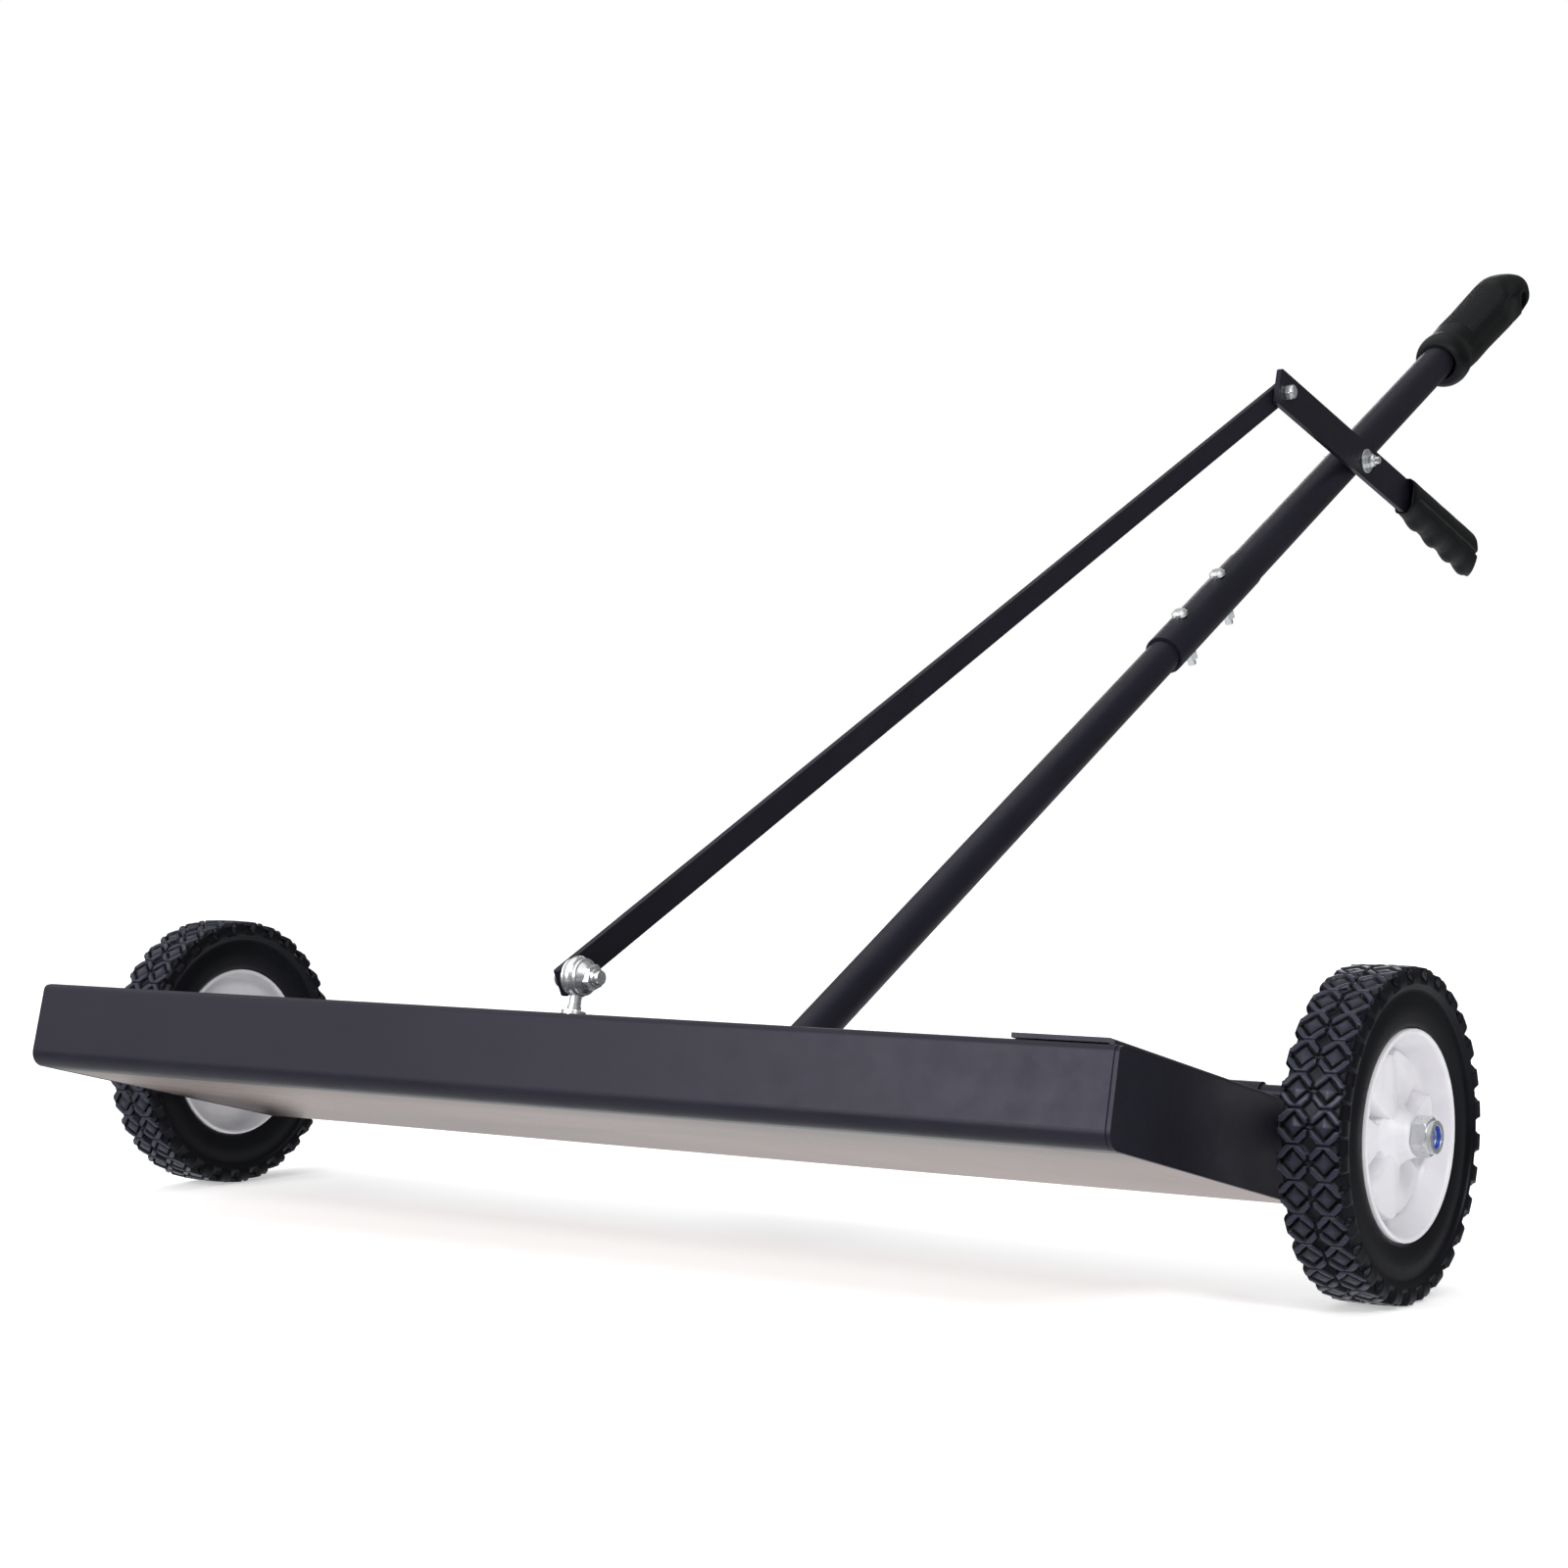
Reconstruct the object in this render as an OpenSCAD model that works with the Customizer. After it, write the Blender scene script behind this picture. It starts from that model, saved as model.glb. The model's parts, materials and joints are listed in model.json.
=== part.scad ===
// Walk-behind magnetic nail sweeper with a lever that lifts the magnets.
// The chassis is laid out level, with x along the axle, y from the front
// edge to the back and z up from the underside, and is then tipped back
// about the axle onto its wheels. The origin is on the ground, under the
// middle of the whole machine.

/* [Housing] */
// Length of the folded sheet housing along the axle
housing_length = 760; // [600:10:900]
// Depth of the housing from its front face to its rear face
housing_depth = 217; // [200:1:240]
// Height of the housing
housing_height = 51; // [46:1:60]
// Thickness of the folded steel sheet
sheet = 1.6; // [1.2:0.1:2.5]
// Outside radius of the bend along the lower front edge
front_bend = 9; // [6:1:10]
// Outside radius of the two bends along the top
top_bend = 4; // [3:0.5:6]
// Thickness of the plates that close the ends
end_plate = 2.5; // [2:0.5:4]
// Thickness of the stainless collector plate
tray_sheet = 1.2; // [0.8:0.1:1.5]

/* [Wheels] */
// Radius of the tyre
tyre_r = 88.9; // [80:0.1:95]
// Width of the tyre
tyre_width = 38; // [32:1:42]
// Distance from the middle of the machine to the middle of each tyre
wheel_x = 428; // [425:1:470]
// Radius of the hub rim that the tyre sits on
rim_r = 56; // [50:0.5:60]
// Radius of the axle rod
axle_r = 6; // [5:0.5:8]
// Axle centre behind the front face
axle_y = 207; // [200:1:208]
// Axle centre above the underside
axle_z = 40.5; // [36:0.5:41]

/* [Magnets] */
// How far the release lever lifts the magnets
lift = 25; // [15:1:25]
// Sideways place of the lifting eye
eye_x = 5; // [0:1:10]
// Distance of the lifting eye behind the front face
eye_y = 46; // [44:1:60]
// Height of the lifting eye above the underside, magnets down
eye_z = 78; // [76:1:90]
// Thickness of the magnet blocks
magnet_height = 12; // [8:1:12]
// Width of the magnet blocks, front to back
magnet_width = 60; // [40:1:60]

/* [Handle] */
// Angle of the handle above the underside
handle_angle = 42.3; // [38:0.1:48]
// Where the handle's axis crosses the level of the housing top
handle_y = 248; // [245:1:252]
// Outside radius of the lower tube
lower_r = 12.7; // [12:0.1:12.8]
// Outside radius of the upper tube
upper_r = 14.3; // [14:0.1:14.4]
// Outside radius of the swaged socket at the foot of the upper tube
socket_r = 15.1; // [15:0.1:16]
// Distance along the handle to the mouth of the socket
socket_start = 577; // [500:1:600]
// Distance along the handle to the upper end of the socket
socket_end = 727; // [700:1:760]
// Distance along the handle to the lever pivot
pivot_s = 929; // [900:1:960]
// Distance along the handle to the collar of the grip
grip_start = 1143; // [1100:1:1160]
// Radius of the hanging hole at the end of the grip
hang_hole_r = 7.5; // [5:0.5:8]

/* [Release lever] */
// Angle of the lever against the underside, magnets down
lever_angle = -2.8; // [-4:0.1:0]
// Width of the lever bar
lever_width = 29; // [25:1:30]
// Thickness of the lever bar
lever_thick = 4; // [3:0.5:4]
// Distance from the pivot to the joint with the connecting rod
lever_arm = 150; // [140:0.5:155]
// Width of the connecting rod
rod_width = 17; // [15:0.5:22]

/* [Stance] */
// Angle that the machine leans back about its axle
lean = 13.5; // [0:0.1:20]
// Distance from the axle to the middle of the machine's overall depth
axle_to_middle = 508.4; // [480:0.1:560]

/* [Hidden] */
$fn = 64;

black_paint = [0.13, 0.13, 0.16];
stainless = [0.72, 0.69, 0.67];
zinc = [0.78, 0.79, 0.80];
rubber_black = [0.07, 0.07, 0.07];
hub_white = [0.90, 0.90, 0.91];
nylon_blue = [0.10, 0.20, 0.65];
ferrite_grey = [0.25, 0.25, 0.27];

// Small gap between faces that are put together by hand
gap = 0.3;
// Radial play of a pin in its own hole
pin_play = 0.05;
end_x = housing_length / 2;
lip_end = 11;
tray_front = lip_end + 1.4;
tray_lip = 11;
rear_cut = tray_sheet + 0.4;
rivet_z = 7.5;
rivet_r = 1.6;
rivet_xs = [-320, -160, 0, 160, 320];

bar_r = 5;
bar_y = 206;
bar_z = housing_height + 6.5;
strap_eye_r = 6.4;
strap_inner_x = 318;
strap_outer_x = 377;
strap_eye_x = 357;
strap_sheet = 2.5;
strap_raise = 0.9;
right_strap_front = 5;
left_strap_front = 40;

m6_r = 3;
m8_r = 4;
bracket_sheet = 3;
bracket_y = housing_depth + 0.2;
bracket_half = 46;
bracket_low = 13;
bracket_screw_xs = [-37, -24, 24, 37];
bracket_screw_z = 24;
cheek_x = lower_r + gap;
bracket_bolt_s = [12, 44];
lower_start = -14;
tube_wall = 1.5;
splice_s = [614, 683];
tube_end = grip_start + 151;
hang_hole_along = 174;
hang_hole_below = 12.5;
grip_side = 17.5;

magnet_floor = tray_sheet + 0.6;
bar_height = 4;
bar_top = magnet_floor + magnet_height + bar_height;
eye_ring_r = 8.5;
eye_wire_r = 3.5;
shank_top = housing_height + 10;
neck_r = 3.45;

lever_x = 16;
lever_front = 15;
grip_from = 82;
grip_reach = 226;
rod_thick = 4;
rod_tail = 8.5;
rod_top_x = lever_x - 0.4 - rod_thick / 2;
rod_foot_x = eye_x - eye_wire_r - 1.9 - rod_thick / 2;
pivot_y = handle_y + pivot_s * cos(handle_angle);
pivot_z = housing_height + pivot_s * sin(handle_angle);
joint_y = pivot_y - lever_arm * cos(lever_angle);
joint_z = pivot_z - lever_arm * sin(lever_angle);
rod_plan = norm([joint_y - eye_y, joint_z - eye_z]);
rod_angle = atan2(joint_z - eye_z, joint_y - eye_y);
rod_skew = atan2(rod_top_x - rod_foot_x, rod_plan);
rod_length = norm([rod_plan, rod_top_x - rod_foot_x]);

hub_inner_x = wheel_x - 21;
hub_outer_x = wheel_x + 20;

// ---- frames ----

// Tips the level chassis back about the axle and stands it on its wheels
module in_stance() {
    translate([0, -axle_to_middle, tyre_r])
        rotate([-lean, 0, 0])
            translate([0, -axle_y, -axle_z])
                children();
}

// z along the handle from its foot, y towards the handle's lower side
module on_handle(s = 0) {
    translate([0, handle_y, housing_height])
        rotate([handle_angle - 90, 0, 0])
            translate([0, 0, s])
                children();
}

// y along the lever from its pivot towards the grip
module on_lever() {
    translate([0, pivot_y, pivot_z])
        rotate([lever_angle, 0, 0])
            children();
}

// y along the connecting rod from its foot joint
module on_rod() {
    translate([rod_foot_x, eye_y, eye_z])
        rotate([rod_angle, 0, 0])
            rotate([0, 0, -rod_skew])
                children();
}

// Copies to the left side as a mirror image when side is -1
module on_side(side) {
    if (side > 0) children();
    else mirror([1, 0, 0]) children();
}

// ---- shared shapes ----

// Cylinder along x between two stations
module x_cyl(x0, x1, r) {
    translate([x0, 0, 0])
        rotate([0, 90, 0])
            cylinder(h = x1 - x0, r = r);
}

// Hexagonal prism along x, given its width across flats
module x_hex(x0, x1, flats) {
    translate([x0, 0, 0])
        rotate([0, 90, 0])
            cylinder(h = x1 - x0, d = flats / cos(30), $fn = 6);
}

// Ring along x
module x_ring(x0, x1, r_out, r_in) {
    difference() {
        x_cyl(x0, x1, r_out);
        x_cyl(x0 - 1, x1 + 1, r_in);
    }
}

// Extrudes a yz outline along x
module along_x(x0, x1) {
    translate([x0, 0, 0])
        rotate([90, 0, 90])
            linear_extrude(x1 - x0)
                children();
}

// Rectangle from the origin with its own radius at each corner:
// front bottom, rear bottom, rear top, front top
module rounded_rect(w, h, r) {
    corners = [[0, 0], [w, 0], [w, h], [0, h]];
    inward = [[1, 1], [-1, 1], [-1, -1], [1, -1]];
    difference() {
        square([w, h]);
        for (i = [0 : 3])
            if (r[i] > 0)
                translate(corners[i] + inward[i] * r[i] / 2)
                    square(r[i] + 0.001, center = true);
    }
    for (i = [0 : 3])
        if (r[i] > 0)
            translate(corners[i] + inward[i] * r[i])
                circle(r[i]);
}

// ---- housing ----

module housing_outline() {
    difference() {
        rounded_rect(housing_depth, housing_height,
            [front_bend, 0, top_bend, top_bend]);
        translate([sheet, sheet])
            rounded_rect(housing_depth - 2 * sheet, housing_height - 2 * sheet,
                [front_bend - sheet, 0, top_bend - sheet, top_bend - sheet]);
        translate([lip_end, -1])
            square([housing_depth - sheet - lip_end, sheet + 1.1]);
        translate([housing_depth - sheet - 0.1, -1])
            square([sheet + 1, rear_cut + 1]);
    }
}

// Holes for the rivets that hold the collector plate to the rear wall
module rivet_holes() {
    for (x = rivet_xs)
        translate([x, housing_depth + 1, rivet_z])
            rotate([90, 0, 0])
                cylinder(h = 8, r = rivet_r);
}

module housing_shell() {
    color(black_paint)
        in_stance()
            difference() {
                along_x(-end_x, end_x)
                    housing_outline();
                translate([eye_x, eye_y, housing_height - sheet - 1])
                    cylinder(h = sheet + 2, r = 6);
                rivet_holes();
                for (x = bracket_screw_xs)
                    translate([x, housing_depth + 1, bracket_screw_z])
                        rotate([90, 0, 0])
                            cylinder(h = sheet + 2, r = m6_r + 0.1);
            }
}

module end_plate_shape(side) {
    color(black_paint)
        in_stance()
            on_side(side)
                difference() {
                    translate([0, 0.6, 0])
                        along_x(end_x, end_x + end_plate)
                            rounded_rect(housing_depth + 10, housing_height - 0.3,
                                [front_bend, 6, 12, top_bend]);
                    translate([0, axle_y, axle_z])
                        x_cyl(end_x - 1, end_x + end_plate + 1, axle_r + 0.05);
                }
}

module left_end_plate() {
    end_plate_shape(-1);
}

module right_end_plate() {
    end_plate_shape(1);
}

// Shallow stainless tray that closes the underside
module collector_plate() {
    depth = housing_depth - tray_front;
    half = end_x - gap;
    color(stainless)
        in_stance()
            difference() {
                union() {
                    translate([-half, tray_front, 0.2])
                        cube([2 * half, depth, tray_sheet]);
                    translate([-half, tray_front, 0.2])
                        cube([2 * half, depth - sheet - 0.1, tray_lip]);
                }
                translate([-half + tray_sheet, tray_front + tray_sheet, 0.2 + tray_sheet])
                    cube([2 * (half - tray_sheet),
                        depth - sheet - 0.1 - 2 * tray_sheet, tray_lip]);
                rivet_holes();
            }
}

module plate_rivets() {
    color(zinc)
        in_stance()
            for (x = rivet_xs)
                translate([x, housing_depth, rivet_z])
                    rotate([-90, 0, 0]) {
                        cylinder(h = 1.3, r1 = 3.4, r2 = 2.2);
                        translate([0, 0, -sheet - tray_sheet - 0.8])
                            cylinder(h = sheet + tray_sheet + 0.9, r = rivet_r);
                    }
}

// Strap on the housing top with a rolled eye round the cross bar
module end_strap_shape(side, front) {
    low = housing_height + strap_raise;
    color(black_paint)
        in_stance()
            on_side(side)
                difference() {
                    union() {
                        translate([strap_inner_x, front, low])
                            cube([strap_outer_x - strap_inner_x - 3, bar_y - front,
                                strap_sheet]);
                        translate([strap_inner_x, bar_y - 20, housing_height])
                            cube([30, 13, low - housing_height + 0.1]);
                        intersection() {
                            translate([strap_outer_x - 3.4, front, housing_height])
                                rotate([-90, 0, 0])
                                    cylinder(h = bar_y - 7 - front, r = 3.4);
                            translate([strap_outer_x - 3.2, front - 1, housing_height])
                                cube([4, bar_y, 3.4]);
                        }
                        translate([0, bar_y, bar_z])
                            x_cyl(strap_inner_x, strap_eye_x, strap_eye_r);
                    }
                    translate([0, bar_y, bar_z])
                        x_cyl(strap_inner_x - 1, strap_outer_x + 1, bar_r + 0.04);
                    translate([strap_eye_x, bar_y - 7, housing_height])
                        cube([strap_outer_x, 20, 20]);
                }
}

module left_end_strap() {
    end_strap_shape(-1, left_strap_front);
}

module right_end_strap() {
    end_strap_shape(1, right_strap_front);
}

// Round bar along the rear of the housing top, tying the ends together
module cross_bar() {
    color(black_paint)
        in_stance()
            translate([0, bar_y, bar_z])
                x_cyl(-strap_outer_x + 3, strap_outer_x - 3, bar_r);
}

// ---- handle ----

module bracket_cheek(x0) {
    outline = [[bracket_y, bracket_low], [bracket_y, housing_height + 0.3],
        [bar_y - 9, housing_height + 0.3], [bar_y - 9, bar_z + 3],
        [bar_y - 4, bar_z + 8], [bar_y + 8, bar_z + 9], [272, 88],
        [287, 88], [296, 76], [250, 26], [234, bracket_low]];
    difference() {
        along_x(x0, x0 + bracket_sheet)
            polygon(outline);
        translate([0, bar_y, bar_z])
            x_cyl(x0 - 1, x0 + bracket_sheet + 1, bar_r + 0.04);
    }
}

module bracket_bolt_places() {
    for (s = bracket_bolt_s)
        on_handle(s)
            children();
}

// Welded foot: a back plate on the rear wall and two cheeks for the tube
module handle_bracket() {
    color(black_paint)
        in_stance()
            difference() {
                union() {
                    translate([-bracket_half, bracket_y, bracket_low])
                        cube([2 * bracket_half, bracket_sheet, 22]);
                    bracket_cheek(cheek_x);
                    bracket_cheek(-cheek_x - bracket_sheet);
                }
                for (x = bracket_screw_xs)
                    translate([x, bracket_y + bracket_sheet + 1, bracket_screw_z])
                        rotate([90, 0, 0])
                            cylinder(h = bracket_sheet + 2, r = m6_r + 0.1);
                bracket_bolt_places()
                    x_cyl(-30, 30, m8_r + 0.1);
            }
}

module bracket_screws() {
    color(zinc)
        in_stance()
            for (x = bracket_screw_xs)
                translate([x, bracket_y + bracket_sheet, bracket_screw_z])
                    rotate([-90, 0, 0]) {
                        cylinder(h = 4, d = 10 / cos(30), $fn = 6);
                        translate([0, 0, -12])
                            cylinder(h = 13, r = m6_r);
                        translate([0, 0, -bracket_sheet - sheet - 5.3])
                            cylinder(h = 5, d = 10 / cos(30), $fn = 6);
                    }
}

module bracket_bolts() {
    x0 = cheek_x + bracket_sheet;
    color(zinc)
        in_stance()
            bracket_bolt_places() {
                x_hex(-x0 - 5.3, -x0, 13);
                x_cyl(-x0 - 1, x0 + 9, m8_r);
            }
}

module bracket_nuts() {
    x0 = cheek_x + bracket_sheet;
    color(zinc)
        in_stance()
            bracket_bolt_places()
                difference() {
                    x_hex(x0, x0 + 6.5, 13);
                    x_cyl(x0 - 1, x0 + 8, m8_r);
                }
}

// Holes for the two bolts that pin the handle tubes together
module splice_holes(r) {
    for (s = splice_s)
        on_handle(s)
            rotate([90, 0, 0])
                cylinder(h = 60, r = r, center = true);
}

module lower_handle_tube() {
    length = socket_end - 5 - lower_start;
    color(black_paint)
        in_stance()
            difference() {
                on_handle(lower_start)
                    difference() {
                        cylinder(h = length, r = lower_r);
                        translate([0, 0, -1])
                            cylinder(h = length + 2, r = lower_r - tube_wall);
                    }
                bracket_bolt_places()
                    x_cyl(-30, 30, m8_r);
                splice_holes(m6_r);
            }
}

module upper_handle_tube() {
    socket_length = socket_end - socket_start;
    color(black_paint)
        in_stance()
            difference() {
                on_handle(socket_start)
                    difference() {
                        union() {
                            cylinder(h = socket_length - 3, r = socket_r);
                            translate([0, 0, socket_length - 3])
                                cylinder(h = 4, r1 = socket_r, r2 = upper_r);
                            translate([0, 0, socket_length])
                                cylinder(h = tube_end - socket_end, r = upper_r);
                        }
                        translate([0, 0, -1])
                            cylinder(h = socket_length + 1, r = lower_r + 0.25);
                        cylinder(h = tube_end, r = lower_r);
                    }
                on_handle(pivot_s)
                    x_cyl(-30, 30, m8_r);
                splice_holes(m6_r);
            }
}

// Pan-head bolts, heads on the upper side of the handle
module splice_bolts() {
    color(zinc)
        in_stance()
            for (s = splice_s)
                on_handle(s)
                    rotate([90, 0, 0]) {
                        translate([0, 0, socket_r])
                            cylinder(h = 2.4, r = 6.1);
                        translate([0, 0, socket_r + 2.4])
                            cylinder(h = 2, r1 = 6.1, r2 = 3.8);
                        translate([0, 0, -socket_r - 11])
                            cylinder(h = 2 * socket_r + 12, r = m6_r);
                    }
}

module splice_nuts() {
    color(zinc)
        in_stance()
            for (s = splice_s)
                on_handle(s)
                    rotate([90, 0, 0])
                        translate([0, 0, -socket_r - 6.3])
                            difference() {
                                cylinder(h = 6, d = 10 / cos(30), $fn = 6);
                                translate([0, 0, -1])
                                    cylinder(h = 8, r = m6_r);
                            }
}

// Rubber grip with a rounded collar, a sloping end and a hanging hole
module main_grip() {
    upper_edge = [[-30, -5], [-30, 142], [-21, 150], [-19.4, 158], [-17, 167],
        [-13.7, 176], [-9.5, 185], [-3, 193], [4, 198]];
    lower_edge = [[10, 200], [16, 198.5], [20, 194], [23, 187],
        [25.6, 178], [27.4, 168], [28.6, 155], [40, 140], [40, -5]];
    color(rubber_black)
        in_stance()
            on_handle(grip_start)
                difference() {
                    intersection() {
                        translate([0, 3.2, 0])
                            rotate_extrude()
                                polygon([[0, 0], [17.8, 0], [20.2, 3],
                                    [22.4, 8], [23.6, 20], [23.6, 50],
                                    [23.1, 80], [23.6, 107], [24.6, 137],
                                    [25, 155], [25, 205], [0, 205]]);
                        along_x(-30, 30)
                            polygon(concat(upper_edge, lower_edge));
                    }
                    translate([0, 0, -2])
                        cylinder(h = tube_end + 2.3 - grip_start, r = upper_r + 0.02);
                    for (x = [-40 - grip_side, grip_side])
                        translate([x, -10, 150])
                            cube([40, 50, 60]);
                    translate([0, hang_hole_below, hang_hole_along])
                        x_cyl(-40, 40, hang_hole_r);
                }
}

// ---- wheels and axle ----

module axle_rod() {
    color(zinc)
        in_stance()
            translate([0, axle_y, axle_z])
                x_cyl(-hub_outer_x - 7.6, hub_outer_x + 7.6, axle_r);
}

module wheel_spacer_shape(side) {
    color(black_paint)
        in_stance()
            on_side(side)
                translate([0, axle_y, axle_z])
                    x_ring(end_x + end_plate, hub_inner_x - 0.4, 10, axle_r + 0.02);
}

module left_wheel_spacer() {
    wheel_spacer_shape(-1);
}

module right_wheel_spacer() {
    wheel_spacer_shape(1);
}

module lock_nut_shape(side) {
    x0 = hub_outer_x + 0.4;
    color(zinc)
        in_stance()
            on_side(side)
                translate([0, axle_y, axle_z])
                    difference() {
                        union() {
                            intersection() {
                                x_hex(x0, x0 + 8, 19);
                                translate([x0, 0, 0])
                                    rotate([0, 90, 0])
                                        cylinder(h = 8, r1 = 14, r2 = 10.2);
                            }
                            x_cyl(x0, x0 + 10.6, 8.8);
                        }
                        x_cyl(x0 - 1, x0 + 12, axle_r + 0.02);
                        x_cyl(x0 + 7.6, x0 + 9.9, 7.6);
                    }
}

module left_lock_nut() {
    lock_nut_shape(-1);
}

module right_lock_nut() {
    lock_nut_shape(1);
}

module nylon_ring_shape(side) {
    x0 = hub_outer_x + 0.4 + 7.65;
    color(nylon_blue)
        in_stance()
            on_side(side)
                translate([0, axle_y, axle_z])
                    x_ring(x0, x0 + 2.2, 7.55, axle_r + 0.02);
}

module left_nylon_ring() {
    nylon_ring_shape(-1);
}

module right_nylon_ring() {
    nylon_ring_shape(1);
}

module tyre_shape(side) {
    half = tyre_width / 2;
    color(rubber_black)
        in_stance()
            on_side(side)
                translate([wheel_x, axle_y, axle_z])
                    rotate([0, 90, 0])
                        rotate_extrude()
                            polygon([[rim_r + 0.05, -half + 6],
                                [rim_r + 0.05, half - 6], [rim_r + 4, half - 2],
                                [tyre_r - 14, half - 3], [tyre_r - 9, half],
                                [tyre_r - 3, half - 1], [tyre_r, half - 6],
                                [tyre_r, -half + 6], [tyre_r - 3, -half + 1],
                                [tyre_r - 9, -half], [tyre_r - 14, -half + 3],
                                [rim_r + 4, -half + 2]]);
}

module left_tyre() {
    tyre_shape(-1);
}

module right_tyre() {
    tyre_shape(1);
}

// Moulded hub: rim, dished web with windows, ribs and a long boss
module hub_shape(side) {
    half = tyre_width / 2;
    spokes = 6;
    color(hub_white)
        in_stance()
            on_side(side)
                translate([wheel_x, axle_y, axle_z])
                    difference() {
                        union() {
                            x_ring(-half + 3, half - 2, rim_r, rim_r - 3);
                            x_cyl(-2, 2, rim_r - 2);
                            x_cyl(-21, 20, 13);
                            for (i = [0 : spokes - 1])
                                rotate([i * 360 / spokes, 0, 0])
                                    translate([-12, 9, -2.5])
                                        cube([26, rim_r - 11, 5]);
                        }
                        x_cyl(-22, 21, axle_r + pin_play);
                    }
}

module left_hub() {
    hub_shape(-1);
}

module right_hub() {
    hub_shape(1);
}

// ---- release lever ----

// Shouldered bolt with a low round head and a thinner threaded end
module lever_pivot_bolt() {
    color(zinc)
        in_stance()
            on_handle(pivot_s) {
                x_cyl(-upper_r - 2.6, -upper_r - 0.1, 6.5);
                x_cyl(-upper_r - 1, lever_x + lever_thick + 1.6, m8_r);
                x_cyl(lever_x + lever_thick + 1.5, 32, m6_r);
            }
}

module lever_pivot_washers() {
    color(zinc)
        in_stance()
            on_handle(pivot_s) {
                x_ring(upper_r + 0.05, lever_x - 0.2, 9, m8_r + 0.02);
                x_ring(lever_x + lever_thick + 0.2, lever_x + lever_thick + 1.6,
                    10, m8_r + 0.02);
            }
}

module lever_pivot_nut() {
    x0 = lever_x + lever_thick + 1.65;
    color(zinc)
        in_stance()
            on_handle(pivot_s)
                difference() {
                    union() {
                        x_hex(x0, x0 + 4.6, 10);
                        x_cyl(x0, x0 + 6.4, 4.6);
                    }
                    x_cyl(x0 - 1, x0 + 8, m6_r + 0.02);
                }
}

module release_lever() {
    color(black_paint)
        in_stance()
            on_lever()
                difference() {
                    along_x(lever_x, lever_x + lever_thick)
                        translate([-lever_arm - lever_front, -lever_width / 2])
                            rounded_rect(lever_arm + lever_front + grip_reach - 8,
                                lever_width, [2, 4, 4, 3]);
                    x_cyl(0, 40, m8_r + pin_play);
                    translate([0, -lever_arm, 0])
                        x_cyl(0, 40, m8_r);
                }
}

// Outline of the lever's grip from the side, with its mouth end and four finger swells
module grip_side_shape(fingers) {
    translate([grip_from, -16])
        rounded_rect(26, 33, [5, 0, 0, 5]);
    translate([grip_from + 10, -16])
        rounded_rect(grip_reach - grip_from - 10, 33, [0, 12, 11, 0]);
    for (f = fingers)
        translate([f[0], f[1]])
            circle(f[2]);
}

// Moulded finger grip pushed over the end of the lever bar
module lever_grip() {
    mid = lever_x + lever_thick / 2;
    fingers = [[110, -7, 14], [146, -9.5, 13.5], [181, -11, 13], [212, -11, 13.5]];
    color(rubber_black)
        in_stance()
            on_lever()
                difference() {
                    intersection() {
                        along_x(mid - 10, mid + 10)
                            grip_side_shape(fingers);
                        translate([mid, 0, 0])
                            rotate([-90, 0, 0])
                                linear_extrude(grip_reach + 10)
                                    translate([-10, -17.05])
                                        rounded_rect(20, 43.3, [7.5, 7.5, 7.5, 7.5]);
                    }
                    along_x(lever_x - 0.02, lever_x + lever_thick + 0.02)
                        translate([grip_from - 10, -lever_width / 2 - 0.02])
                            square([grip_reach - grip_from + 2.4, lever_width + 0.04]);
                }
}

// Shouldered bolt that joins the lever to the top of the connecting rod
module rod_top_bolt() {
    color(zinc)
        in_stance()
            on_lever()
                translate([0, -lever_arm, 0]) {
                    x_hex(6, 11, 11);
                    x_cyl(10, lever_x + lever_thick + 6.5, m8_r);
                }
}

module rod_top_nut() {
    x0 = lever_x + lever_thick + 0.05;
    color(zinc)
        in_stance()
            on_lever()
                translate([0, -lever_arm, 0])
                    difference() {
                        union() {
                            x_hex(x0, x0 + 4.5, 11);
                            x_cyl(x0, x0 + 6, 5);
                        }
                        x_cyl(x0 - 1, x0 + 8, m8_r);
                    }
}

// Flat bar; its foot hole is loose so that the linkage can follow its arc
module connecting_rod() {
    color(black_paint)
        in_stance()
            on_rod()
                difference() {
                    along_x(-rod_thick / 2, rod_thick / 2)
                        translate([-rod_tail, -rod_width / 2])
                            rounded_rect(rod_length + rod_tail + 10, rod_width,
                                [1, 4, 4, 1]);
                    x_cyl(-10, 10, m8_r + 0.7);
                    translate([0, rod_length, 0])
                        rotate([0, 0, rod_skew])
                            x_cyl(-10, 10, m8_r + pin_play);
                }
}

// ---- lifting magnets ----

module magnet_backing_bar() {
    half = end_x - 18;
    color(black_paint)
        in_stance()
            difference() {
                translate([-half, eye_y - 31.5, magnet_floor + magnet_height])
                    cube([2 * half, 65, bar_height]);
                translate([eye_x, eye_y, 0])
                    cylinder(h = 40, r = m8_r);
            }
}

// Blocks in two banks with a space at the eye bolt's lower nut
module magnet_blocks() {
    count = 6;
    first_x = -end_x + 20;
    pitch = 120.4;
    color(ferrite_grey)
        in_stance()
            difference() {
                for (i = [0 : count - 1])
                    translate([first_x + i * pitch, eye_y - magnet_width / 2, magnet_floor])
                        cube([pitch - 2, magnet_width, magnet_height - 0.02]);
                translate([eye_x - 11, eye_y - 11, 0])
                    cube([22, 22, 30]);
            }
}

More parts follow.
